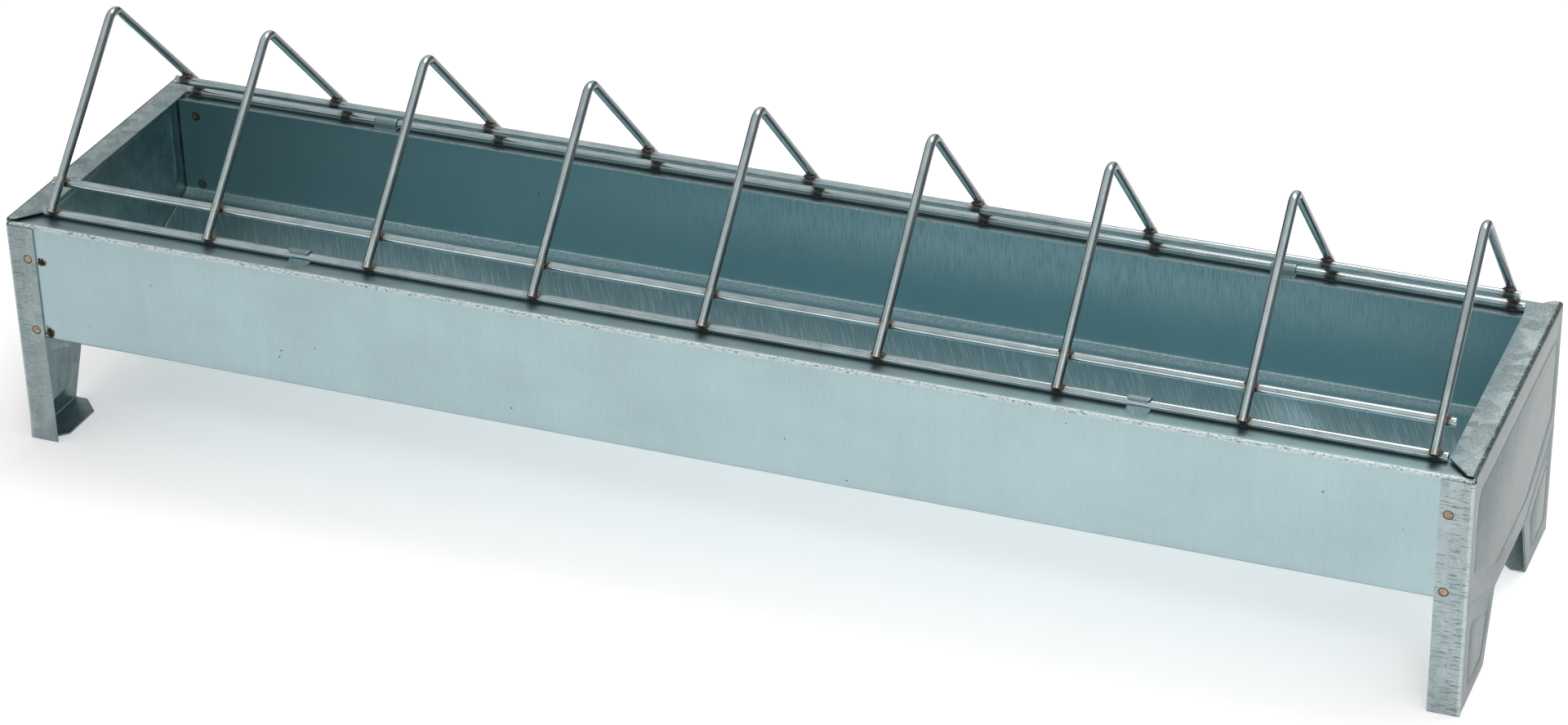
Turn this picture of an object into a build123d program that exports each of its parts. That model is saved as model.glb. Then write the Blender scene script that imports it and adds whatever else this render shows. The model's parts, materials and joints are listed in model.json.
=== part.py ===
from build123d import *
import os
from math import cos, radians, sin, tan

# A galvanised trough feeder with a hinged wire grille, in millimetres.
# X runs along the trough, the latch side is -Y, the hinge side is +Y, and Z is up from the floor.
# The origin is under the middle of the trough, on the floor.

# Trough and end caps
length = 500.0
width = 117.0
cap_height = 84.7
sheet = 0.6
bend_inner = 0.6
rim_drop = 1.5
wall_foot_height = 40.6
bottom_height = 24.5
bottom_flat = 40.0
rim_flange = 12.3
cap_flange = 10.0
strip_width = 10.4
strip_top_drop = 1.0
corner_run = 0.3
flange_corner_depth = 7.0
flange_corner_inset = 5.0
notch_top_height = 24.0
notch_top_width = 39.0
notch_floor_width = 58.8
tab_depth = 11.5
tab_corner_rear = 6.3
tab_corner_front = 5.0
spot_weld_radius = 1.65
spot_weld_inset = 7.5
spot_weld_top_drop = 14.2
spot_weld_low_rise = 2.9

# Grille
wire = 3.0
hoop_count = 9
hoop_pitch = 58.9
leg_slope = 45.6
apex_bend_radius = 4.5
rod_inset = 9.1
rod_rise = 10.8
rod_overhang = 3.9
rod_rest_gap = 0.15
foot_overrun = 1.0
weld_bite = 0.3
slug_reach = 2.4
slug_depth = 1.5
slug_corner = 0.8

# Hinge knuckles and latch tongues, both lanced out of the rim flanges
knuckle_offset = 161.0
knuckle_width = 8.2
knuckle_gap = 0.35
knuckle_sweep = 200.0
knuckle_slot_depth = 8.6
tongue_offset = 143.5
tongue_width = 7.6
tongue_gap = 0.25
tongue_sweep = 138.0
tongue_tip = 2.6
tongue_slot_depth = 6.4

# Sizes worked out from the ones above
wire_radius = wire / 2
half_length = length / 2
half_width = width / 2
wall_outer = half_width - sheet
rim_top = cap_height - rim_drop
bend_outer = bend_inner + sheet
panel_inner = half_length - sheet
trough_half = panel_inner - bend_inner
rod_y = half_width - rod_inset
rod_z = rim_top + wire_radius + rod_rest_gap
axis_gap = wire - weld_bite
hoop_xs = [(i - (hoop_count - 1) / 2) * hoop_pitch for i in range(hoop_count)]
rod_half = hoop_xs[-1] + rod_overhang
slope = radians(leg_slope)
sides = {"left": -1, "right": 1}


def sheet_section(points):
    """Section of a bent sheet. The points run on its outer face, with the metal on their left."""
    outer = FilletPolyline(*points, radius=bend_outer)
    inner = outer.offset_2d(sheet, side=Side.LEFT, closed=False)
    near, far = sorted((inner @ 0, inner @ 1), key=lambda end: (end - outer @ 0).length)
    ends = [Line(outer @ 0, near), Line(outer @ 1, far)]
    return make_face(Curve() + outer.edges() + inner.edges() + ends)


def block(x_range, y_range, z_range):
    """A box given by its lowest and highest place on each axis."""
    size = [high - low for low, high in (x_range, y_range, z_range)]
    middle = [(high + low) / 2 for low, high in (x_range, y_range, z_range)]
    return Pos(*middle) * Box(*size)


def curl(y, inner_radius, sweep, turn):
    """Half-section of a tongue: up from the flange beside a rod at y, then curled over the rod."""
    centre = (y, rod_z)
    outer_radius = inner_radius + sheet
    start = 0 if turn > 0 else 180
    arcs = [CenterArc(centre, radius, start, turn * sweep) for radius in (inner_radius, outer_radius)]
    root_z = rim_top
    side = 1 if turn > 0 else -1
    foot_in = (y + side * inner_radius, root_z)
    foot_out = (y + side * outer_radius, root_z)
    lines = [
        Line(arcs[0] @ 0, foot_in),
        Line(foot_in, foot_out),
        Line(foot_out, arcs[1] @ 0),
        Line(arcs[1] @ 1, arcs[0] @ 1),
    ]
    return make_face(Curve() + arcs + lines)


def latch_tongue(x):
    """A lanced tongue that stands behind the front rod and snaps over it, with a rounded tip."""
    section = Plane.YZ * curl(-rod_y, wire_radius + tongue_gap, tongue_sweep, 1)
    strip = Pos(x, 0, 0) * extrude(section, amount=tongue_width / 2, both=True)
    root = Pos(0, rod_z) * Rectangle(tongue_width, 2 * rod_z)
    tip = Ellipse(tongue_width / 2, tongue_tip)
    outline = Pos(x, -rod_y, rim_top) * extrude(root + tip, amount=4 * wire)
    return strip & outline


def knuckle(x):
    """A hinge knuckle: it rises before the rear rod and curls over and behind it."""
    section = Plane.YZ * curl(rod_y, wire_radius + knuckle_gap, knuckle_sweep, -1)
    return Pos(x, 0, 0) * extrude(section, amount=knuckle_width / 2, both=True)


def tongue_slot(x):
    """The half-moon opening that a latch tongue leaves in the front flange."""
    root_y = -rod_y + wire_radius + tongue_gap
    bow = tongue_width / 2
    straight = tongue_slot_depth - bow
    opening = Pos(0, -straight / 2) * Rectangle(tongue_width, straight)
    opening += Pos(0, -straight) * Circle(bow)
    return Pos(x, root_y, rim_top - 2 * sheet) * extrude(opening, amount=3 * sheet)


def knuckle_slot(x):
    """The opening that a knuckle leaves in the rear flange."""
    root_y = rod_y - wire_radius - knuckle_gap
    half = knuckle_width / 2
    return block(
        (x - half, x + half),
        (root_y, root_y + knuckle_slot_depth),
        (rim_top - 2 * sheet, rim_top + sheet / 4),
    )


def spot_weld_places(side):
    """Middle of each spot weld of one end cap: x, side in y, z."""
    heights = [cap_height - spot_weld_top_drop, wall_foot_height + spot_weld_low_rise]
    return [(side * (half_length - spot_weld_inset), face, z) for face in (-1, 1) for z in heights]


def spot_weld(x, face, z):
    """One spot weld: a short plug through an end cap's strip and the trough's wall."""
    middle = face * (half_width - sheet)
    return Pos(x, middle, z) * Rot(90, 0, 0) * Cylinder(spot_weld_radius, 2 * sheet)


def trough_channel():
    half_flat = bottom_flat / 2
    inner_edge = wall_outer - rim_flange
    points = [
        (-inner_edge, rim_top),
        (-wall_outer, rim_top),
        (-wall_outer, wall_foot_height),
        (-half_flat, bottom_height),
        (half_flat, bottom_height),
        (wall_outer, wall_foot_height),
        (wall_outer, rim_top),
        (inner_edge, rim_top),
    ]
    body = extrude(Plane.YZ * sheet_section(points), amount=trough_half, both=True)
    for x in (-tongue_offset, tongue_offset):
        body -= tongue_slot(x)
    for x in (-knuckle_offset, knuckle_offset):
        body = body - knuckle_slot(x) + knuckle(x)
    for side in sides.values():
        for place in spot_weld_places(side):
            body -= spot_weld(*place)
    return body


def end_cap(side):
    """An end cap: one sheet with a top flange, two wrapped strips, two legs and their foot tabs."""
    corner_y = half_width - bend_outer - corner_run
    panel_points = [
        (half_length, 0),
        (half_length, cap_height),
        (half_length - cap_flange, cap_height),
    ]
    strip_points = [
        (half_length - strip_width, -half_width),
        (half_length, -half_width),
        (half_length, -corner_y),
    ]
    strip_top = rim_top - strip_top_drop
    panel = extrude(Plane.XZ * sheet_section(panel_points), amount=corner_y, both=True)
    strip = extrude(sheet_section(strip_points), amount=strip_top)
    foot = foot_tab(corner_y)
    cap = panel
    for piece in (strip, foot):
        cap = cap + piece + mirror(piece, about=Plane.XZ)
    cap -= notch()
    for cutter in (flange_corner(corner_y), mirror(flange_corner(corner_y), about=Plane.XZ)):
        cap -= cutter
    for place in spot_weld_places(1):
        cap -= spot_weld(*place)
    return cap if side > 0 else mirror(cap, about=Plane.YZ)


def notch():
    """The opening between an end cap's two legs."""
    outline = Polyline(
        (-notch_floor_width / 2, 0),
        (-notch_top_width / 2, notch_top_height),
        (notch_top_width / 2, notch_top_height),
        (notch_floor_width / 2, 0),
        close=True,
    )
    section = Plane.YZ.offset(half_length - 2 * sheet) * make_face(outline)
    return extrude(section, amount=3 * sheet)


def foot_tab(corner_y):
    """A foot tab: the leg's lower end folded inwards along the floor, with cut corners."""
    root = half_length
    tip = half_length - tab_depth
    near = notch_floor_width / 2
    outline = Polyline(
        (root, near),
        (root - sheet, near),
        (tip, near + tab_corner_rear),
        (tip, corner_y - tab_corner_front),
        (tip + tab_corner_front / 2, corner_y),
        (root, corner_y),
        close=True,
    )
    return extrude(make_face(outline), amount=sheet)


def flange_corner(corner_y):
    """What is cut off a top flange's inner corner."""
    inner = half_length - cap_flange
    outline = Polyline(
        (inner - 1, corner_y + 1),
        (inner - 1, corner_y - flange_corner_depth),
        (inner, corner_y - flange_corner_depth),
        (inner + flange_corner_inset, corner_y),
        (inner + flange_corner_inset, corner_y + 1),
        close=True,
    )
    return Pos(0, 0, cap_height - 2 * sheet) * extrude(make_face(outline), amount=3 * sheet)


def leg_point(face, along, out):
    """A point by a leg of a hoop: along is up the leg from the lower rod, out is away from the rod."""
    y = -rod_y + along * cos(slope) - out * sin(slope)
    z = rod_z + along * sin(slope) + out * cos(slope)
    return (-face * y, z)


def hoop(x):
    foot_y, foot_z = leg_point(-1, -foot_overrun, axis_gap)
    apex_z = foot_z - foot_y * tan(slope)
    points = [(x, foot_y, foot_z), (x, 0, apex_z), (x, -foot_y, foot_z)]
    path = FilletPolyline(*points, radius=apex_bend_radius)
    wire_bent = sweep(Plane(path @ 0, z_dir=path % 0) * Circle(wire_radius), path=path)
    for face in (-1, 1):
        for along in (0, rod_rise):
            wire_bent -= Pos(x, 0, 0) * rod(face, along, hoop_pitch / 4)
    return wire_bent


def rod(face, along, reach):
    """A straight rod along X, inside the hoops' legs."""
    y, z = leg_point(face, along, 0)
    return Pos(0, y, z) * Rot(0, 90, 0) * Cylinder(wire_radius, 2 * reach)


def weld_slug(x, face, along):
    """The metal squeezed out round one crossing of a rod and a hoop's leg."""
    y, z = leg_point(face, along, axis_gap / 2)
    lift = (slug_reach - foot_overrun) / 2
    tilt = Rot(-face * leg_slope, 0, 0)
    blob = Pos(0, -face * lift, 0) * Box(2 * slug_reach, slug_reach + foot_overrun, slug_depth)
    blob = fillet(blob.edges().filter_by(Axis.Z), slug_corner)
    leg = Pos(0, 0, axis_gap / 2) * Rot(90, 0, 0) * Cylinder(wire_radius, 6 * wire)
    bar = Pos(0, 0, -axis_gap / 2) * Rot(0, 90, 0) * Cylinder(wire_radius, 6 * wire)
    return Pos(x, y, z) * tilt * (blob - leg - bar)


rods = {
    "front_lower": (-1, 0),
    "front_upper": (-1, rod_rise),
    "rear_upper": (1, rod_rise),
    "rear_lower": (1, 0),
}

nodes = {"trough_channel": trough_channel()}
for name, side in sides.items():
    nodes["end_cap_" + name] = end_cap(side)
    nodes["spot_welds_" + name] = Compound([spot_weld(*place) for place in spot_weld_places(side)])
    nodes["latch_tongue_" + name] = latch_tongue(side * tongue_offset)
for number, x in enumerate(hoop_xs, start=1):
    nodes["hoop_" + str(number)] = hoop(x)
for name, (face, along) in rods.items():
    nodes["rod_" + name] = rod(face, along, rod_half)
    nodes["welds_" + name] = Compound([weld_slug(x, face, along) for x in hoop_xs])

os.makedirs("parts", exist_ok=True)
for name, shape in nodes.items():
    export_step(shape, "parts/" + name + ".step")
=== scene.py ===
import json
import math
import random

import bmesh
import bpy
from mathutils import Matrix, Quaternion, Vector


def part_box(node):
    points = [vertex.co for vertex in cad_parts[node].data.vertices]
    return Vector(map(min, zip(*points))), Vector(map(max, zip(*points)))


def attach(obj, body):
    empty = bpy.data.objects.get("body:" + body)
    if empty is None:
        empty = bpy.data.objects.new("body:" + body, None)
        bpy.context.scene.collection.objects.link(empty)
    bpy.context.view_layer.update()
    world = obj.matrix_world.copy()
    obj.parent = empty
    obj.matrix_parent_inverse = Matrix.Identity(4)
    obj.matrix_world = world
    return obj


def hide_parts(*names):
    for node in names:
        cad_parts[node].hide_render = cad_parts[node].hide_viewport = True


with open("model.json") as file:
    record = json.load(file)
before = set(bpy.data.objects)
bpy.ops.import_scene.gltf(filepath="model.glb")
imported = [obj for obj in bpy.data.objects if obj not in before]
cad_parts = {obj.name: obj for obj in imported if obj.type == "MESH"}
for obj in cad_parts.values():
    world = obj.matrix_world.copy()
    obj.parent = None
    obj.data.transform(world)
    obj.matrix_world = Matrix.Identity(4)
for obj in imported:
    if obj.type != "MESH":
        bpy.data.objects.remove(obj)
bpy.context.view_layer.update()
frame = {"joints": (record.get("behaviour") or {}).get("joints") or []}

# A galvanised trough feeder with a hinged wire grille.
# Pieces are shaped in millimetres, in the frame's axes, and are scaled to metres when they are finished.
# X runs along the trough, the latch side is -Y, the hinge side is +Y, and Z is up from the floor.

METRE = 1000.0

# Sheet metal
SHEET = 0.6
BEND = 1.2
FOOT_BEND = 0.8
CREASE_BEND = 0.35
LENGTH_CUTS = 95
RIPPLE_SIZE = 46.0
RIPPLE_HEIGHT = 0.30
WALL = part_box("trough_channel")[1].y * METRE
TROUGH_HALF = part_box("trough_channel")[1].x * METRE
BOTTOM_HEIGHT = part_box("trough_channel")[0].z * METRE
BOTTOM_HALF = 20.0
WALL_FOOT = 40.6
CAP_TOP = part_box("end_cap_right")[1].z * METRE
RIM_TOP = CAP_TOP - 1.5
RIM_FLANGE = 12.3
HALF_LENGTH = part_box("end_cap_right")[1].x * METRE
HALF_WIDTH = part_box("end_cap_right")[1].y * METRE
CAP_FLANGE = 10.0
STRIP_WIDTH = 10.4
STRIP_TOP = RIM_TOP - 1.0
CORNER_Y = 57.0
FLANGE_CUT = (7.0, 5.0)
FLANGE_LIFT = 0.35
FLANGE_LIFT_RUN = 14.0
NOTCH_TOP = (19.5, 24.0)
NOTCH_FLOOR = 29.4
TAB_DEPTH = 11.5
TAB_TAPER = 6.3
TAB_CUT = (5.0, 2.5)

# Pressed lines in the end caps: outlines as (y, z) corners, and the furrow as inset and depth steps
PANEL_OUTLINE = [(-52.0, 75.5), (-52.0, 46.2), (-18.8, 32.0), (18.8, 32.0), (52.0, 46.2), (52.0, 75.5)]
PANEL_ROUNDING = 4.5
LEG_OUTLINE = [(33.4, 6.4), (52.0, 6.4), (52.0, 31.0), (28.4, 21.1)]
LEG_ROUNDING = 3.2
FURROW = ((0.35, -0.20), (0.35, -0.12), (0.35, 0.12), (0.35, 0.20))
ROUNDING_STEPS = 6
SEAM_BEVEL = 0.55
SEAM_DEPTH = 0.22

# Spot welds
SPOT_RADIUS = 1.65
SPOT_X = HALF_LENGTH - 7.5
SPOT_HEIGHTS = (CAP_TOP - 14.2, WALL_FOOT + 2.9)

# Grille
HINGE = [value * METRE for value in frame["joints"][0]["pos_m"]]
ROD_Y = HINGE[1]
ROD_Z = HINGE[2]
WIRE_RADIUS = 1.5
AXIS_GAP = 2.7
ROD_RISE = 10.8
LEG_SLOPE = math.radians(45.6)
APEX_BEND = 4.5
FOOT_OVERRUN = 1.0
FOOT_STEPS = (0.9, 3.0, 14.0)
FOOT_CROP = 4.0
HOOP_LEAN = 0.2
ROD_PINCH = 0.95
PINCH_REACH = 2.4
BEAD_SIZE = (2.7, 1.3, 1.05)
BEAD_WING = 1.9
HOOPS = 9
HOOP_XS = [
    sum(corner.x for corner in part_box("hoop_%d" % number)) / 2 * METRE
    for number in range(1, HOOPS + 1)
]
HOOP_PITCH = HOOP_XS[1] - HOOP_XS[0]
ROD_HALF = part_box("rod_front_lower")[1].x * METRE
RODS = {
    "front_lower": (-1, 0.0),
    "front_upper": (-1, ROD_RISE),
    "rear_upper": (1, ROD_RISE),
    "rear_lower": (1, 0.0),
}

# Hinge knuckles and latch tongues
KNUCKLE_X = 161.0
KNUCKLE_WIDTH = 8.2
KNUCKLE_GAP = 0.35
KNUCKLE_SWEEP = math.radians(200)
KNUCKLE_SLOT = 8.6
TONGUE_X = 143.5
TONGUE_WIDTH = 7.6
TONGUE_GAP = 0.25
TONGUE_SWEEP = math.radians(138)
TONGUE_TIP = 2.6
TONGUE_SLOT = 6.4
CURL_SHEET = SHEET - 0.03
CURL_ROOT = 0.9
TURN_UP = 0.6

SIDES = {"left": -1, "right": 1}


# Working on a piece

def put_down():
    bpy.ops.object.select_all(action="DESELECT")


def take_up(piece):
    put_down()
    piece.select_set(True)
    bpy.context.view_layer.objects.active = piece


def open_up(piece):
    take_up(piece)
    bpy.ops.object.mode_set(mode="EDIT")
    bpy.ops.mesh.select_all(action="DESELECT")


def close_up():
    bpy.ops.object.mode_set(mode="OBJECT")


def pick(kind, test, edge_only=False):
    """Selects the points, edges or faces of the open piece whose corners all pass the test."""
    bpy.ops.mesh.select_mode(type=kind)
    bpy.ops.mesh.select_all(action="DESELECT")
    mesh = bmesh.from_edit_mesh(bpy.context.edit_object.data)
    parts = {"VERT": mesh.verts, "EDGE": mesh.edges, "FACE": mesh.faces}[kind]
    for part in parts:
        corners = [part] if kind == "VERT" else part.verts
        if edge_only and not part.is_boundary:
            continue
        if all(test(corner.co) for corner in corners):
            part.select_set(True)
    mesh.select_flush_mode()
    bmesh.update_edit_mesh(bpy.context.edit_object.data)


def pick_lengthwise():
    """Selects the edges of the open piece that run along X."""
    bpy.ops.mesh.select_mode(type="EDGE")
    bpy.ops.mesh.select_all(action="DESELECT")
    mesh = bmesh.from_edit_mesh(bpy.context.edit_object.data)
    for edge in mesh.edges:
        first, second = edge.verts
        if near(first.co.y, second.co.y) and near(first.co.z, second.co.z):
            edge.select_set(True)
    bmesh.update_edit_mesh(bpy.context.edit_object.data)


def near(value, target, slack=0.02):
    return abs(value - target) < slack


def pick_all():
    bpy.ops.mesh.select_all(action="SELECT")


def shift(x=0.0, y=0.0, z=0.0):
    bpy.ops.transform.translate(value=(x, y, z))


def pull_out(x=0.0, y=0.0, z=0.0):
    bpy.ops.mesh.extrude_region_move(TRANSFORM_OT_translate={"value": (x, y, z)})


def resize(x, y, z, middle):
    bpy.ops.transform.resize(value=(x, y, z), center_override=middle)


def slice_at(place, normal, **options):
    bpy.ops.mesh.bisect(plane_co=place, plane_no=normal, **options)


def settle():
    """Moves the selected pieces' place, turn and size into their meshes."""
    bpy.ops.object.transform_apply(location=True, rotation=True, scale=True)


def flat_blank(middle, turn, size):
    """A flat sheet blank, its size along its own X and Y, ready to fold."""
    put_down()
    bpy.ops.mesh.primitive_plane_add(size=1, location=middle, rotation=turn)
    blank = bpy.context.object
    blank.scale = (size[0], size[1], 1)
    settle()
    return blank


def apply_tool(piece, kind, **settings):
    """Adds a modifier with its settings and applies it."""
    take_up(piece)
    tool = piece.modifiers.new(kind.lower(), kind)
    for key, value in settings.items():
        setattr(tool, key, value)
    bpy.ops.object.modifier_apply(modifier=tool.name)


def even_normals(piece):
    open_up(piece)
    pick_all()
    bpy.ops.mesh.remove_doubles(threshold=0.001)
    bpy.ops.mesh.normals_make_consistent(inside=False)
    close_up()


def thicken(piece, gauge=SHEET, offset=-1.0):
    apply_tool(piece, "SOLIDIFY", thickness=gauge, offset=offset, use_even_offset=True)


def soften_edges(piece, width, segments, angle):
    """Rounds the edges that turn by more than the angle, in degrees."""
    apply_tool(
        piece, "BEVEL", width=width, segments=segments,
        limit_method="ANGLE", angle_limit=math.radians(angle),
    )


def punch(piece, punches):
    """Cuts the punches' shapes out of a piece and throws the punches away."""
    for tool in punches:
        apply_tool(piece, "BOOLEAN", operation="DIFFERENCE", solver="EXACT", object=tool)
        bpy.data.objects.remove(tool)


def copy_of(piece, name):
    twin = piece.copy()
    twin.data = piece.data.copy()
    twin.name = name
    bpy.context.scene.collection.objects.link(twin)
    return twin


def joined(pieces):
    """Puts placed copies together as one piece."""
    put_down()
    for piece in pieces:
        piece.select_set(True)
    bpy.context.view_layer.objects.active = pieces[0]
    settle()
    bpy.ops.object.join()
    return pieces[0]


def finished(piece, name, body, slot, material, *nodes, smooth=35):
    """Scales a shaped piece to metres, gives it its name, finish and body, and hides what it stands for."""
    take_up(piece)
    piece.name = name
    settle()
    piece.scale = (1 / METRE,) * 3
    settle()
    bpy.ops.object.shade_smooth_by_angle(angle=math.radians(smooth))
    piece.data.materials.clear()
    piece.data.materials.append(material)
    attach(piece, body)
    if nodes:
        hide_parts(*nodes)


def leg_point(face, along, out):
    """A point by a hoop's leg: along runs up the leg from the lower rod, out is away from the rod."""
    y = -ROD_Y + along * math.cos(LEG_SLOPE) - out * math.sin(LEG_SLOPE)
    z = ROD_Z + along * math.sin(LEG_SLOPE) + out * math.cos(LEG_SLOPE)
    return (-face * y, z)


# Shader steps

class Value:
    """A shader socket that arithmetic works on: an expression adds its Math nodes."""

    def __init__(self, finish, socket):
        self.finish = finish
        self.socket = socket

    def _math(self, operation, first, second=0.0):
        return self.finish.node("Math", {"operation": operation}, {0: first, 1: second})

    def __add__(self, other):
        return self._math("ADD", self, other)

    def __radd__(self, other):
        return self._math("ADD", other, self)

    def __sub__(self, other):
        return self._math("SUBTRACT", self, other)

    def __rsub__(self, other):
        return self._math("SUBTRACT", other, self)

    def __mul__(self, other):
        return self._math("MULTIPLY", self, other)

    def __rmul__(self, other):
        return self._math("MULTIPLY", other, self)

    def __truediv__(self, other):
        return self._math("DIVIDE", self, other)

    def __pow__(self, other):
        return self._math("POWER", self, other)

    def __abs__(self):
        return self._math("ABSOLUTE", self)

    def above(self, low, high):
        """0 below low, 1 above high, eased between. With low over high it falls instead."""
        inputs = {"Value": self, "From Min": low, "From Max": high}
        return self.finish.node("MapRange", {"interpolation_type": "SMOOTHSTEP"}, inputs)

    def wrapped(self, pitch):
        """Distance from the nearest multiple of pitch."""
        return self._math("PINGPONG", abs(self), pitch / 2)

    def least(self, other):
        return self._math("MINIMUM", self, other)


class Finish:
    """One material or sky: its tree, the place on the piece in millimetres, and a method for each step."""

    def __init__(self, name, holder=None):
        self.material = holder or bpy.data.materials.new(name)
        self.material.use_nodes = True
        self.tree = self.material.node_tree
        self.tree.nodes.clear()
        self.place = self.scaled(self.node("TexCoord", output="Object"), METRE)
        self.x = self.node("SeparateXYZ", inputs={0: self.place}, output="X")
        self.y = self.node("SeparateXYZ", inputs={0: self.place}, output="Y")
        self.z = self.node("SeparateXYZ", inputs={0: self.place}, output="Z")

    def feed(self, socket, value):
        if isinstance(value, Value):
            self.tree.links.new(value.socket, socket)
        else:
            socket.default_value = value

    def node(self, kind, settings=None, inputs=None, output=0):
        """Any node: its type, its settings, then what its sockets take."""
        made = self.tree.nodes.new("ShaderNode" + kind)
        for key, value in (settings or {}).items():
            if key == "stops":
                self.set_stops(made.color_ramp, value)
            else:
                setattr(made, key, value)
        for key, value in (inputs or {}).items():
            self.feed(made.inputs[key], value)
        return Value(self, made.outputs[output]) if len(made.outputs) else None

    def set_stops(self, ramp, stops):
        while len(ramp.elements) < len(stops):
            ramp.elements.new(1.0)
        for element, (place, colour) in zip(ramp.elements, stops):
            element.position = place
            element.color = (*colour, 1.0)

    def scaled(self, vector, amount):
        inputs = {0: vector, "Scale": amount}
        return self.node("VectorMath", {"operation": "SCALE"}, inputs)

    def vector(self, x, y, z):
        return self.node("CombineXYZ", inputs={0: x, 1: y, 2: z})

    def noise(self, vector, size, detail=3.0, roughness=0.55):
        """Noise with features of about this size, in millimetres on each axis."""
        stretch = tuple(1 / value for value in size)
        spread = self.node("VectorMath", {"operation": "MULTIPLY"}, {0: vector, 1: stretch})
        inputs = {"Vector": spread, "Scale": 1.0, "Detail": detail, "Roughness": roughness}
        return self.node("TexNoise", inputs=inputs)

    def cells(self, size, output="Distance"):
        """Cells about this wide, in millimetres."""
        spread = self.scaled(self.place, 1 / size)
        return self.node("TexVoronoi", inputs={"Vector": spread, "Scale": 1.0}, output=output)

    def colour(self, factor, stops):
        return self.node("ValToRGB", {"stops": stops}, {0: factor}, "Color")

    def blend(self, factor, first, second):
        """A colour between two, which may each be fixed or varying."""
        inputs = {
            0: factor,
            6: first if isinstance(first, Value) else (*first, 1.0),
            7: second if isinstance(second, Value) else (*second, 1.0),
        }
        return self.node("Mix", {"data_type": "RGBA"}, inputs, 2)

    def bump(self, height, depth):
        """Relief whose height value of 1 stands depth millimetres high."""
        inputs = {"Height": height, "Distance": depth / METRE, "Strength": 1.0}
        return self.node("Bump", inputs=inputs)

    def metal(self, colour, roughness, normal, metallic=1.0, **others):
        inputs = {
            "Base Color": colour,
            "Roughness": roughness,
            "Normal": normal,
            "Metallic": metallic,
            **others,
        }
        shader = self.node("BsdfPrincipled", inputs=inputs)
        self.node("OutputMaterial", inputs={"Surface": shader})
        return self.material


# Finishes

BRIGHT_ZINC = (0.345, 0.462, 0.485)
# A paler, bluer copy of the zinc for the trough's inner faces: painted light.
PAINTED_LIGHT_INNER_ZINC = (0.43, 0.63, 0.67)
DULL_ZINC = (0.21, 0.265, 0.27)
# The colour of sheared edges, also used as a painted highlight down the caps' bent corners.
CUT_EDGE_AND_BEND_HIGHLIGHT = (0.62, 0.69, 0.70)
SOOT = (0.022, 0.018, 0.016)
STRAW = (0.34, 0.25, 0.15)


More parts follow.
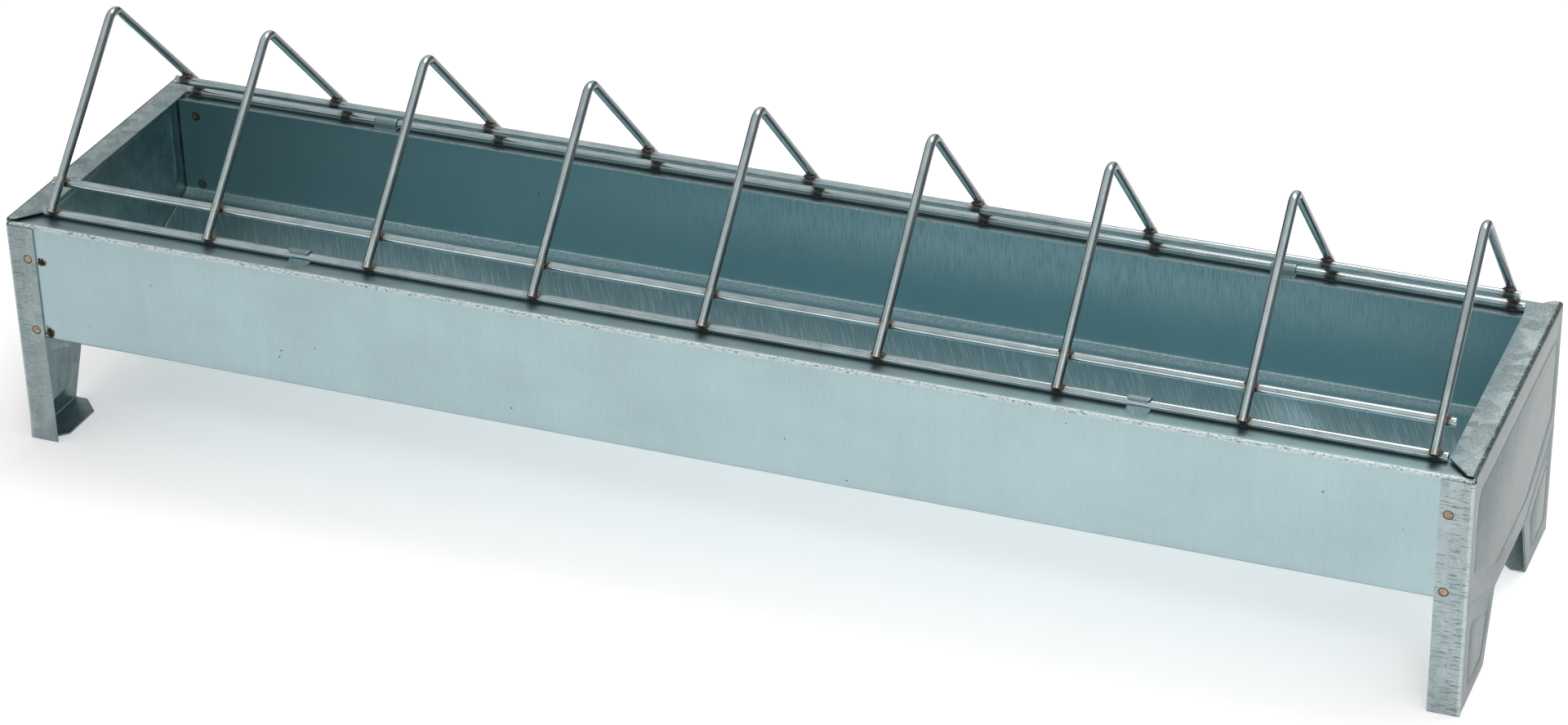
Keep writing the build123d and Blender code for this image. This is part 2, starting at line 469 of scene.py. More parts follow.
def galvanised_trough():
    """Bright zinc sheet, rolled across the trough, rough and cracked along its folds. Painted light and
    shade: a paler inside, a sheen on the inner walls, a highlight along the rim fold, and darker front
    tongues.
    """
    f = Finish("bright_zinc_sheet")
    profile = f.vector(f.x, f.y * 0.1, f.z * 0.1)
    fine_lines = f.noise(profile, (0.5, 6.0, 6.0), detail=4.0)
    broad_lines = f.noise(profile, (7.0, 9.0, 9.0), detail=3.0)
    clouds = f.noise(f.place, (38.0, 24.0, 24.0), detail=3.0)
    dashes = f.noise(f.place, (0.42, 6.5, 6.5), detail=3.0, roughness=0.6)
    tone = fine_lines * 0.14 + dashes * 0.34 + broad_lines * 0.16 + clouds * 0.36
    colour = f.colour(tone, [
        (0.30, tuple(value * 0.84 for value in BRIGHT_ZINC)),
        (0.52, BRIGHT_ZINC),
        (0.72, tuple(value * 1.14 for value in BRIGHT_ZINC)),
    ])

    colour = f.blend(dashes.above(0.60, 0.72) * 0.22, colour, (0.12, 0.16, 0.17))
    inside = (WALL - 0.3 - abs(f.y)).above(0.0, 0.2) * f.z.above(82.4, 82.0)
    slanted = f.vector(f.x * 0.85 + f.y * 0.53, f.y * 0.85 - f.x * 0.53, f.z)
    scratches = f.noise(slanted, (0.38, 13.0, 13.0), detail=4.0, roughness=0.65)
    bottom = f.z.above(40.0, 36.0) * inside
    # Painted light: the inner faces take a paler, bluer copy of the zinc, which lifts the shade inside the
    # trough.
    painted_light_inner_tone = f.blend(tone.above(0.25, 0.75), (0.37, 0.56, 0.60), PAINTED_LIGHT_INNER_ZINC)
    colour = f.blend(inside, colour, painted_light_inner_tone)
    colour = f.blend(scratches.above(0.50, 0.62) * bottom * 0.75, colour, (0.76, 0.90, 0.92))
    # Painted sheen: paler, less metallic streaks on the inner walls, growing towards the top and centred
    # right of middle.
    painted_sheen = f.z.above(48.0, 80.0) * abs(f.x - 90.0).above(210.0, 40.0) * dashes.above(0.30, 0.58)
    colour = f.blend(painted_sheen * inside * 0.80, colour, (0.74, 0.90, 0.93))

    specks = f.cells(5.2)
    speck_choice = f.noise(f.place, (7.0, 7.0, 7.0), detail=1.0).above(0.56, 0.62)
    speck = specks.above(0.085, 0.05) * speck_choice
    colour = f.blend(speck * 0.75, colour, (0.05, 0.06, 0.06))

    side = abs(f.y)
    fold = side.above(WALL - 1.5, WALL - 0.5) * f.z.above(RIM_TOP - 1.5, RIM_TOP - 0.6)
    grain = f.noise(f.place, (1.1, 0.5, 0.4), detail=4.0, roughness=0.7)
    # Painted highlight: a pale broken line along the rim fold.
    colour = f.blend(fold * grain.above(0.40, 0.52) * 0.85, colour, (0.80, 0.86, 0.86))
    colour = f.blend(fold * grain.above(0.40, 0.34) * 0.80, colour, (0.05, 0.06, 0.065))
    crease = (f.z - WALL_FOOT).above(-1.4, -0.6) * (f.z - WALL_FOOT).above(1.4, 0.6)
    colour = f.blend(crease * inside * grain.above(0.42, 0.58) * 0.7, colour, (0.82, 0.90, 0.90))

    lip = side.above(WALL - RIM_FLANGE + 0.14, WALL - RIM_FLANGE + 0.02) * f.z.above(80.0, 81.0)
    lip_grain = f.noise(f.place, (0.9, 0.9, 0.25), detail=3.0)
    colour = f.blend(lip * lip_grain.above(0.40, 0.55), colour, CUT_EDGE_AND_BEND_HIGHLIGHT)

    burn_x = (abs(f.x) - (HALF_LENGTH - 12.4)) / 1.8
    char = f.noise(f.place, (0.8, 0.8, 1.5), detail=3.0, roughness=0.7)
    for height, reach in zip(SPOT_HEIGHTS, (1.5, 2.5)):
        rise = (f.z - (height - 0.6)) / reach
        ring = (burn_x * burn_x + rise * rise) + (char - 0.5) * 3.2
        outer_left = f.x.above(0.0, -1.0) * side.above(WALL - 0.4, WALL - 0.2)
        colour = f.blend(ring.above(1.35, 0.9) * outer_left * 0.7, colour, STRAW)
        colour = f.blend(ring.above(1.0, 0.5) * outer_left, colour, SOOT)

    smear_x = (f.x + TONGUE_X) / 3.4
    smear_y = (f.y + 55.2) / 0.9
    smear = (smear_x * smear_x + smear_y * smear_y).above(1.2, 0.2)
    colour = f.blend(smear * f.z.above(82.5, 82.9) * 0.65, colour, (0.30, 0.23, 0.15))

    curl = f.z.above(RIM_TOP + 0.1, RIM_TOP + 0.3)
    # Painted shade: the curls of the front tongues are darkened.
    colour = f.blend(curl * f.y.above(-40.0, -50.0) * 0.45, colour, (0.10, 0.13, 0.135))
    rim_top = f.z.above(RIM_TOP - 0.3, RIM_TOP - 0.1)
    roughness = 0.24 + tone * 0.12 + speck * 0.3 + fold * 0.2
    roughness = roughness + (inside + curl + rim_top) * 0.10
    height = fine_lines * 0.5 + broad_lines * 0.3 + fold * grain * 3.0 + scratches * bottom * 0.8
    metallic = 1.0 - lip * 0.65 - fold * grain.above(0.42, 0.52) * 0.35 - crease * inside * 0.3
    # Less metallic where the sheen is painted.
    metallic = metallic - painted_sheen * inside * 0.45
    return f.metal(colour, roughness, f.bump(height, 0.022), metallic)


def galvanised_cap():
    """Duller zinc sheet with soft spangle, and fine cracks across the wrapped strips. Painted light and
    shade: a darker outer face, paler strips and top flange, a highlight down each bent corner, and a dark
    band along the top fold.
    """
    f = Finish("mottled_zinc_sheet")
    mottle = f.noise(f.place, (13.0, 11.0, 11.0), detail=5.0, roughness=0.62)
    spangle = f.cells(4.2, output="Color")
    spangle = f.node("SeparateColor", inputs={0: spangle}, output="Red")
    streaks = f.noise(f.place, (1.6, 1.0, 22.0), detail=3.0)
    grit = f.noise(f.place, (0.9, 0.9, 0.9), detail=4.0, roughness=0.7)
    tone = mottle * 0.28 + spangle * 0.12 + streaks * 0.22 + grit * 0.38
    colour = f.colour(tone, [
        (0.38, tuple(value * 0.78 for value in DULL_ZINC)),
        (0.50, DULL_ZINC),
        (0.60, tuple(value * 1.24 for value in DULL_ZINC)),
    ])

    along = abs(f.x)
    side = abs(f.y)
    outer_face = along.above(HALF_LENGTH - 0.45, HALF_LENGTH - 0.2)
    # Painted shade: the outer end face is darkened.
    colour = f.blend(outer_face * 0.40, colour, (0.03, 0.04, 0.04))
    strip = side.above(HALF_WIDTH - 0.7, HALF_WIDTH - 0.5)
    right = f.x.above(-1.0, 1.0)
    # Painted light: the wrapped strips take a paler tone of their own, paler still on the right-hand cap.
    painted_light_strip_tone = f.colour(tone, [(0.38, (0.31, 0.38, 0.39)), (0.60, (0.41, 0.49, 0.505))])
    colour = f.blend(strip * (0.35 + right * 0.45), colour, painted_light_strip_tone)

    crack_noise = f.noise(f.place, (3.4, 9.0, 0.30), detail=3.0, roughness=0.6)
    outward = along.above(HALF_LENGTH - STRIP_WIDTH, HALF_LENGTH - 1.0)
    patches = f.noise(f.place, (6.0, 6.0, 9.0), detail=2.0)
    cracks = crack_noise.above(0.585, 0.625) * (0.45 + outward * 0.55) * patches.above(0.28, 0.50)
    cracks = cracks * strip * (0.50 + right * 0.50)
    colour = f.blend(cracks * 0.8, colour, (0.07, 0.085, 0.09))

    pits = f.cells(2.1).above(0.15, 0.09)
    pits = pits * f.noise(f.place, (5.0, 5.0, 5.0)).above(0.52, 0.60)
    pits = pits * (0.25 + strip * 0.75)
    colour = f.blend(pits * 0.75, colour, (0.06, 0.07, 0.07))

    end_edge = along.above(HALF_LENGTH - 1.3, HALF_LENGTH - 0.9)
    side_edge = side.above(HALF_WIDTH - 1.3, HALF_WIDTH - 0.9)
    # Painted highlight: a pale line down each rounded corner where the end face bends into a strip.
    colour = f.blend(end_edge * side_edge * 0.35, colour, CUT_EDGE_AND_BEND_HIGHLIGHT)
    flange = f.z.above(CAP_TOP - 0.5, CAP_TOP - 0.2)
    # Painted light: the top flange takes a paler tone of its own.
    painted_light_flange_tone = f.colour(tone, [(0.40, (0.24, 0.30, 0.305)), (0.60, (0.50, 0.575, 0.58))])
    colour = f.blend(flange, colour, painted_light_flange_tone)
    inner_half = along.above(HALF_LENGTH - 4.5, HALF_LENGTH - 7.0) * mottle.above(0.42, 0.58)
    colour = f.blend(flange * inner_half * 0.40, colour, (0.20, 0.29, 0.33))
    fold = along.above(HALF_LENGTH - 1.5, HALF_LENGTH - 1.0) * f.z.above(CAP_TOP - 1.5, CAP_TOP - 1.1)
    painted_fold_shade_noise = f.noise(f.place, (0.5, 1.4, 0.5), detail=3.0)
    # Painted shade: a dark, broken band along the rounded fold between the top flange and the end face.
    colour = f.blend(fold * painted_fold_shade_noise.above(0.28, 0.50) * 0.9, colour, (0.045, 0.065, 0.06))

    roughness = 0.30 + tone * 0.16 + cracks * 0.2 + flange * 0.08
    height = mottle * 0.8 + spangle * 0.25 + streaks * 0.3 - cracks * 2.0 - pits * 1.5
    return f.metal(colour, roughness, f.bump(height, 0.030))


def heat_tint(f, colour, distance, wander):
    """Burnt and straw-coloured zinc round a weld, by distance from it."""
    spread = distance + (wander - 0.5) * 1.6
    colour = f.blend(spread.above(4.2, 2.0) * 0.42, colour, (0.36, 0.29, 0.20))
    colour = f.blend(spread.above(2.5, 1.7) * 0.58, colour, (0.13, 0.105, 0.085))
    return f.blend(spread.above(1.9, 1.2) * 0.80, colour, (0.045, 0.05, 0.065))


def drawn_wire(name, lengthwise, across, distance, painted_wire_shade):
    """Drawn zinc-plated wire: die lines along its length, heat tint round its welds, and painted shade on
    its flanks.
    """
    f = Finish(name)
    line_up = f.vector(lengthwise(f), across(f)[0], across(f)[1])
    die_lines = f.noise(line_up, (34.0, 0.9, 0.9), detail=2.0)
    patches = f.noise(line_up, (7.0, 2.5, 2.5), detail=4.0)
    colour = f.colour(die_lines * 0.5 + patches * 0.5, [
        (0.32, (0.39, 0.48, 0.50)),
        (0.52, (0.55, 0.65, 0.67)),
        (0.70, (0.72, 0.81, 0.83)),
    ])
    # Painted shade on the wire's flanks.
    colour = f.blend(painted_wire_shade(f), colour, (0.052, 0.060, 0.060))
    rust = f.noise(f.place, (3.0, 3.0, 3.0), detail=4.0, roughness=0.65).above(0.60, 0.70)
    colour = f.blend(rust * 0.25, colour, (0.20, 0.17, 0.13))
    wander = f.noise(f.place, (1.6, 1.6, 1.6), detail=2.0)
    reach = distance(f)
    colour = heat_tint(f, colour, reach, wander)
    roughness = 0.10 + die_lines * 0.06 + reach.above(4.0, 1.5) * 0.20
    return f.metal(colour, roughness, f.bump(die_lines + patches * 0.5, 0.004))


def hoop_wire():
    """Wire of the hoops: its length runs up each leg."""
    cos, sin = math.cos(LEG_SLOPE), math.sin(LEG_SLOPE)

    def lengthwise(f):
        return f.z * sin - abs(f.y) * cos

    def across(f):
        return (f.x, abs(f.y) * sin + f.z * cos)

    def distance(f):
        along = (f.z - ROD_Z) * sin - (abs(f.y) - ROD_Y) * cos
        out = (f.z - ROD_Z) * cos + (abs(f.y) - ROD_Y) * sin
        crossing = abs(along).least(abs(along - ROD_RISE))
        return crossing + out.above(1.6, 4.2) * 2.3

    # Painted shade: the hoop wire is darkened towards both of its sides.
    def painted_wire_shade(f):
        off_middle = (f.x - HOOP_XS[0]).wrapped(HOOP_PITCH) / WIRE_RADIUS
        return off_middle.above(0.30, 0.72) * 0.85

    return drawn_wire("hoop_wire_zinc", lengthwise, across, distance, painted_wire_shade)


def rod_wire():
    """Wire of the rods: its length runs along X."""

    def lengthwise(f):
        return f.x

    def across(f):
        return (f.y, f.z)

    def distance(f):
        return (f.x - HOOP_XS[0]).wrapped(HOOP_PITCH)

    # Painted shade: the rod wire is darkened on its underside.
    def painted_wire_shade(f):
        upper = abs(f.y).above(46.0, 45.0)
        rise = f.z - ROD_Z - upper * ROD_RISE * math.sin(LEG_SLOPE)
        return (rise / WIRE_RADIUS).above(0.0, -0.85) * 0.28

    return drawn_wire("rod_wire_zinc", lengthwise, across, distance, painted_wire_shade)


def burnt_weld():
    """Metal squeezed out of a resistance weld: blue-black with brown scale."""
    f = Finish("burnt_weld_metal")
    scale = f.noise(f.place, (0.9, 0.9, 0.9), detail=5.0, roughness=0.7)
    patch = f.noise(f.place, (2.2, 2.2, 2.2), detail=3.0)
    colour = f.colour(scale * 0.6 + patch * 0.4, [
        (0.34, (0.030, 0.032, 0.036)),
        (0.48, (0.085, 0.082, 0.080)),
        (0.58, (0.15, 0.135, 0.12)),
        (0.70, (0.30, 0.34, 0.38)),
    ])
    return f.metal(colour, 0.30 + scale * 0.25, f.bump(scale, 0.10), 0.85)


def tinted_spot():
    """Heat-tinted face of a spot weld: copper in the dish, a dark broken rim, black dots."""
    f = Finish("heat_tinted_spot_weld")
    out = abs(f.x) - SPOT_X
    heights = [f.z - height for height in SPOT_HEIGHTS]
    rise = heights[0] * f.z.above(56.0, 58.0) + heights[1] * f.z.above(58.0, 56.0)
    radius = (out * out + rise * rise) ** 0.5
    scale = f.noise(f.place, (0.7, 0.7, 0.7), detail=5.0, roughness=0.7)
    colour = f.colour(scale, [
        (0.32, (0.13, 0.095, 0.07)),
        (0.50, (0.36, 0.27, 0.19)),
        (0.68, (0.52, 0.47, 0.40)),
    ])
    rim = (radius + (scale - 0.5) * 0.9).above(1.15, 1.45)
    colour = f.blend(rim * 0.9, colour, (0.04, 0.035, 0.03))
    dots = f.cells(0.9).above(0.24, 0.14)
    colour = f.blend(dots * 0.8, colour, (0.02, 0.02, 0.02))
    return f.metal(colour, 0.32 + scale * 0.2, f.bump(scale, 0.05))


FINISHES = {
    "galvanised_trough": galvanised_trough(),
    "galvanised_cap": galvanised_cap(),
    "hoop": hoop_wire(),
    "rod": rod_wire(),
    "weld_metal": burnt_weld(),
    "spot_weld": tinted_spot(),
}


# Trough channel

def weld_punch(x, y, z):
    put_down()
    bpy.ops.mesh.primitive_cylinder_add(
        vertices=28, radius=SPOT_RADIUS, depth=4 * SHEET,
        location=(x, y, z), rotation=(math.pi / 2, 0, 0),
    )
    return bpy.context.object


def tongue_punch(x):
    """The half-moon opening that a latch tongue leaves in the front flange."""
    root_y = -ROD_Y + WIRE_RADIUS + TONGUE_GAP
    bow = TONGUE_WIDTH / 2
    bow_y = root_y - (TONGUE_SLOT - bow)
    put_down()
    bpy.ops.mesh.primitive_cylinder_add(
        vertices=48, radius=bow, depth=6 * SHEET, location=(x, bow_y, RIM_TOP)
    )
    tool = bpy.context.object
    settle()
    open_up(tool)
    pick_all()
    slice_at((x, bow_y, RIM_TOP), (0, 1, 0), use_fill=True, clear_outer=True)
    pick("FACE", lambda p: near(p.y, bow_y))
    pull_out(y=root_y - bow_y)
    close_up()
    even_normals(tool)
    return tool


def knuckle_punch(x):
    """The opening that a knuckle leaves in the rear flange."""
    root_y = ROD_Y - WIRE_RADIUS - KNUCKLE_GAP
    put_down()
    bpy.ops.mesh.primitive_cube_add(size=1, location=(x, root_y + KNUCKLE_SLOT / 2, RIM_TOP))
    tool = bpy.context.object
    tool.scale = (KNUCKLE_WIDTH, KNUCKLE_SLOT, 6 * SHEET)
    settle()
    open_up(tool)
    pick("EDGE", lambda p: p.y > root_y + KNUCKLE_SLOT - 0.1)
    bpy.ops.mesh.bevel(offset=0.9, segments=3, affect="EDGES")
    close_up()
    return tool


def eased(distance, reach):
    share = max(0.0, min(1.0, distance / reach))
    return share * share * (3 - 2 * share)


def folded_channel():
    """The channel's surface: a flat bottom, two sloping panels, two walls and the rims folded inwards."""
    blank = flat_blank((0, 0, BOTTOM_HEIGHT), (0, 0, 0), (2 * TROUGH_HALF, 2 * BOTTOM_HALF))
    open_up(blank)
    pick_all()
    bpy.ops.mesh.flip_normals()
    pick_lengthwise()
    bpy.ops.mesh.subdivide(number_cuts=LENGTH_CUTS)
    runs = [
        ((BOTTOM_HALF, BOTTOM_HEIGHT), (WALL, WALL_FOOT), 8),
        ((WALL, WALL_FOOT), (WALL, RIM_TOP), 9),
        ((WALL, RIM_TOP), (WALL - RIM_FLANGE, RIM_TOP), 4),
    ]
    for side in SIDES.values():
        pick("EDGE", lambda p: near(p.y, side * BOTTOM_HALF), edge_only=True)
        for start, end, steps in runs:
            step_y = side * (end[0] - start[0]) / steps
            step_z = (end[1] - start[1]) / steps
            for _ in range(steps):
                pull_out(y=step_y, z=step_z)
    folds = [
        (BOTTOM_HALF, BOTTOM_HEIGHT, CREASE_BEND),
        (WALL, WALL_FOOT, FOOT_BEND),
        (WALL, RIM_TOP, BEND),
    ]
    for fold_y, fold_z, reach in folds:
        pick("EDGE", lambda p: near(abs(p.y), fold_y) and near(p.z, fold_z))
        bpy.ops.mesh.bevel(offset=reach, segments=5, affect="EDGES")
    close_up()
    return blank


def ripple_panels(blank):
    """Lets the panels wave a little, away from the folds and the ends that hold them."""
    loose = blank.vertex_groups.new(name="loose")
    for point in blank.data.vertices:
        side, height = abs(point.co.y), point.co.z
        from_end = TROUGH_HALF - abs(point.co.x)
        if side > WALL - 0.05:
            from_fold = min(height - WALL_FOOT, RIM_TOP - height)
        elif height < WALL_FOOT:
            from_fold = min(abs(side - BOTTOM_HALF), WALL - side)
        else:
            from_fold = 0.0
        weight = eased(from_end - 6.0, 30.0) * eased(from_fold - 1.0, 9.0)
        loose.add([point.index], weight, "REPLACE")
    ripple = bpy.data.textures.new("sheet_ripple", "CLOUDS")
    ripple.noise_scale = RIPPLE_SIZE
    apply_tool(
        blank, "DISPLACE", texture=ripple, texture_coords="LOCAL",
        strength=RIPPLE_HEIGHT, mid_level=0.5, vertex_group="loose",
    )


def trough_sheet():
    channel = folded_channel()
    ripple_panels(channel)
    thicken(channel)
    places = [
        (side * SPOT_X, face * WALL, height)
        for side in SIDES.values() for face in (-1, 1) for height in SPOT_HEIGHTS
    ]
    punches = [weld_punch(*place) for place in places]
    for side in SIDES.values():
        punches += [tongue_punch(side * TONGUE_X), knuckle_punch(side * KNUCKLE_X)]
    punch(channel, punches)
    finished(
        channel, "trough_sheet", "frame", "galvanised_trough",
        FINISHES["galvanised_trough"], "trough_channel",
    )


# Knuckles and latch tongues

def lanced_curl(x, face, gap, width, sweep):
    """A strip lanced from a rim flange: it turns up beside a rod and curls over it."""
    middle_radius = WIRE_RADIUS + gap + SHEET / 2
    rod_y = face * ROD_Y
    root_y = rod_y - face * middle_radius
    flange_z = RIM_TOP - SHEET / 2
    start_y = root_y - face * (TURN_UP + CURL_ROOT)
    middle_y = start_y + face * CURL_ROOT / 2
    strip = flat_blank((x, middle_y, flange_z), (0, 0, 0), (width, CURL_ROOT))
    open_up(strip)
    pick_lengthwise()
    bpy.ops.mesh.subdivide(number_cuts=7)
    pick("EDGE", lambda p: near(p.y, root_y - face * TURN_UP), edge_only=True)
    bpy.ops.mesh.spin(
        steps=5, angle=-face * math.pi / 2, axis=(1, 0, 0),
        center=(x, root_y - face * TURN_UP, flange_z + TURN_UP),
    )
    pull_out(z=ROD_Z - flange_z - TURN_UP)
    bpy.ops.mesh.spin(
        steps=18, angle=face * sweep, axis=(1, 0, 0), center=(x, rod_y, ROD_Z),
    )
    close_up()
    return strip


def thicken_curl(strip):
    even_normals(strip)
    thicken(strip, CURL_SHEET, 0.0)
    soften_edges(strip, 0.08, 2, 50)


def hinge_knuckle(name, side):
    strip = lanced_curl(side * KNUCKLE_X, 1, KNUCKLE_GAP, KNUCKLE_WIDTH, KNUCKLE_SWEEP)
    thicken_curl(strip)
    finished(
        strip, "hinge_knuckle_" + name, "frame", "galvanised_trough",
        FINISHES["galvanised_trough"], "trough_channel",
    )


def latch_tongue(name, side):
    """A curl whose end is rounded off to a half-moon."""
    x = side * TONGUE_X
    strip = lanced_curl(x, -1, TONGUE_GAP, TONGUE_WIDTH, TONGUE_SWEEP)
    open_up(strip)
    mesh = bmesh.from_edit_mesh(strip.data)
    over_rod = [point.co for point in mesh.verts if point.co.z > ROD_Z + 0.3 and point.co.y < -ROD_Y]
    for row in sorted({round(place.y, 3) for place in over_rod}):
        reach = min(0.98, (-ROD_Y - row) / TONGUE_TIP)
        pick("VERT", lambda p: near(p.y, row, 0.004) and p.z > ROD_Z + 0.3)
        resize(math.sqrt(1 - reach * reach), 1, 1, (x, row, ROD_Z))
    close_up()
    thicken_curl(strip)
    finished(
        strip, "latch_tongue_sheet_" + name, "frame", "galvanised_trough",
        FINISHES["galvanised_trough"], "latch_tongue_" + name,
    )


# End caps

def seam_height(y):
    """Height of the line where the trough's sloping panel meets the cap."""
    share = (abs(y) - NOTCH_TOP[0]) / (HALF_WIDTH - NOTCH_TOP[0])
    return NOTCH_TOP[1] + share * (WALL_FOOT - NOTCH_TOP[1])


def on_seam(place, far):
    """True on that line, from the notch out to a distance far from the middle."""
    return near(place.z, seam_height(place.y), 0.01) and NOTCH_TOP[0] - 0.1 < abs(place.y) < far


def outward_of(y, z):
    """The outward direction of an outline's side that runs along (y, z), the outline going anticlockwise."""
    length = math.hypot(y, z)
    return (z / length, -y / length)


def outline_cuts(corners, rounding):
    """Cutting lines, each a point and an outward direction, round an outline with rounded corners."""
    cuts = []
    for before, here, after in zip(corners[-1:] + corners[:-1], corners, corners[1:] + corners[:1]):
        first = outward_of(here[0] - before[0], here[1] - before[1])
        second = outward_of(after[0] - here[0], after[1] - here[1])
        start = math.atan2(first[1], first[0])
        turn = (math.atan2(second[1], second[0]) - start) % (2 * math.pi)
        middle = ((first[0] + second[0]) / 2, (first[1] + second[1]) / 2)
        reach = rounding / (middle[0] ** 2 + middle[1] ** 2)
        centre = (here[0] - middle[0] * reach, here[1] - middle[1] * reach)
        for step in range(ROUNDING_STEPS):
            way = start + turn * step / ROUNDING_STEPS
            out = (math.cos(way), math.sin(way))
            cuts.append(((centre[0] + out[0] * rounding, centre[1] + out[1] * rounding), out))
    return cuts


def pressed_outline(corners, rounding):
    """Presses a furrow into the open panel along an outline with rounded corners."""
    middle = (sum(y for y, z in corners) / len(corners), sum(z for y, z in corners) / len(corners))
    above_seam = middle[1] > seam_height(middle[0])
    done = []

    def inside(p):
        if above_seam != (p.z > seam_height(p.y) + (-0.01 if above_seam else 0.01)):
            return False
        if not above_seam and p.y * middle[0] < 0:
            return False
        return all((p.y - y) * out_y + (p.z - z) * out_z < 0.01 for (y, z), (out_y, out_z) in done)

    for (y, z), (out_y, out_z) in outline_cuts(corners, rounding):
        pick("FACE", inside)
        slice_at((HALF_LENGTH, y, z), (0, out_y, out_z))
        done.append(((y, z), (out_y, out_z)))
    pick("FACE", inside)
    bpy.ops.mesh.remove_doubles(threshold=0.05)
    pick("FACE", inside)
    for width, depth in FURROW:
        bpy.ops.mesh.inset(thickness=width)
        shift(x=depth)


def cap_panel():
    """The flat outline of the right-hand cap: middle, two sides and two legs."""
    x = HALF_LENGTH
    middle = (NOTCH_TOP[1] + CAP_TOP) / 2
    panel = flat_blank(
        (x, 0, middle), (0, math.pi / 2, 0), (CAP_TOP - NOTCH_TOP[1], 2 * NOTCH_TOP[0])
    )
    open_up(panel)
    for side in (-1, 1):
        pick("EDGE", lambda p: near(p.y, side * NOTCH_TOP[0]), edge_only=True)
        pull_out(y=side * (HALF_WIDTH - NOTCH_TOP[0]))
        pick("VERT", lambda p: near(p.y, side * HALF_WIDTH) and p.z < WALL_FOOT)
        shift(z=WALL_FOOT - NOTCH_TOP[1])
        pick("EDGE", lambda p: near(p.z, seam_height(p.y)) and side * p.y > 1, edge_only=True)
        pull_out(z=-NOTCH_TOP[1])
        pick("VERT", lambda p: near(p.z, 0.0) and near(p.y, side * NOTCH_TOP[0]))
        shift(y=side * (NOTCH_FLOOR - NOTCH_TOP[0]))
        pick("VERT", lambda p: near(p.y, side * HALF_WIDTH) and near(p.z, WALL_FOOT - NOTCH_TOP[1]))
        shift(z=NOTCH_TOP[1] - WALL_FOOT)
    close_up()
    return panel


def press_panel(panel):
    """The pressed lines: one round the panel and one round each leg."""
    open_up(panel)
    pick("FACE", lambda p: p.z > seam_height(p.y) - 0.01)
    bpy.ops.mesh.dissolve_faces(use_verts=True)
    pressed_outline(PANEL_OUTLINE, PANEL_ROUNDING)
    pressed_outline(LEG_OUTLINE, LEG_ROUNDING)
    pressed_outline([(-y, z) for y, z in reversed(LEG_OUTLINE)], LEG_ROUNDING)
    corner_y, corner_z = PANEL_OUTLINE[-1]
    pick("VERT", lambda p: near(p.z, corner_z) and corner_y + 0.5 < abs(p.y) < HALF_WIDTH - 0.1)
    bpy.ops.mesh.dissolve_verts()
    close_up()


def clear_corners():
    """Cuts away the panel's two top corners, which neither the flange nor the strips need."""
    for side in (-1, 1):
        pick_all()
        slice_at((HALF_LENGTH, side * CORNER_Y, 0), (0, 1, 0))
    pick_all()
    slice_at((HALF_LENGTH, 0, STRIP_TOP), (0, 0, 1))
    for side in (-1, 1):
        pick("FACE", lambda p: side * p.y > CORNER_Y - 0.01 and p.z > STRIP_TOP - 0.01)
        bpy.ops.mesh.delete(type="FACE")


def press_seam():
    pick("EDGE", lambda p: on_seam(p, CORNER_Y + 0.1))
    bpy.ops.mesh.bevel(offset=SEAM_BEVEL, segments=2, affect="EDGES")
    pick("VERT", lambda p: on_seam(p, CORNER_Y - 0.1))
    shift(x=-SEAM_DEPTH)


def fold_flange():
    """The top flange, its inner corners cut at a slant and left standing a little proud."""
    edge_x = HALF_LENGTH - CAP_FLANGE
    cut_y, cut_x = FLANGE_CUT
    pick("EDGE", lambda p: near(p.z, CAP_TOP) and near(p.x, HALF_LENGTH), edge_only=True)
    pull_out(x=-CAP_FLANGE)
    for side in (-1, 1):
        pick("FACE", lambda p: near(p.z, CAP_TOP))
        slice_at((edge_x, side * (CORNER_Y - cut_y), CAP_TOP), (-cut_y, side * cut_x, 0), clear_outer=True)
        pick("FACE", lambda p: near(p.z, CAP_TOP))
        slice_at((HALF_LENGTH, side * (CORNER_Y - FLANGE_LIFT_RUN), CAP_TOP), (0, 1, 0))
    outer_y = CORNER_Y - cut_y - 0.5
    pick("VERT", lambda p: near(p.z, CAP_TOP) and p.x < edge_x + 4 and abs(p.y) > outer_y)
    shift(z=FLANGE_LIFT)


def on_foot(place):
    """True on the bottom edge of a leg."""
    return near(place.x, HALF_LENGTH) and near(place.z, 0) and abs(place.y) < CORNER_Y + 0.01


def fold_tab(side):
    """The tab under one foot, tapered inwards and with its outer corner cut."""
    tip_x = HALF_LENGTH - TAB_DEPTH
    cut_y, cut_x = TAB_CUT
    corners = [
        ((tip_x, side * (NOTCH_FLOOR + TAB_TAPER), 0), (-TAB_TAPER, -side * TAB_DEPTH, 0)),
        ((tip_x, side * (CORNER_Y - cut_y), 0), (-cut_y, side * cut_x, 0)),
    ]
    pick("EDGE", lambda p: on_foot(p) and side * p.y > 0, edge_only=True)
    pull_out(x=-TAB_DEPTH)
    for place, outward in corners:
        pick("FACE", lambda p: near(p.z, 0) and side * p.y > 0)
        slice_at(place, outward, clear_outer=True)


def fold_cap(panel):
    """Folds the top flange, the two strips and the two foot tabs inwards."""
    open_up(panel)
    clear_corners()
    press_seam()
    for side in (-1, 1):
        pick("EDGE", lambda p: near(p.y, side * HALF_WIDTH), edge_only=True)
        pull_out(x=-STRIP_WIDTH)
    fold_flange()
    for side in (-1, 1):
        fold_tab(side)
    folds = [
        lambda p: near(p.x, HALF_LENGTH) and near(p.z, CAP_TOP),
        on_foot,
        lambda p: near(p.x, HALF_LENGTH) and near(abs(p.y), HALF_WIDTH),
    ]
    for fold in folds:
        pick("EDGE", fold)
        bpy.ops.mesh.bevel(offset=BEND, segments=5, affect="EDGES")
    close_up()


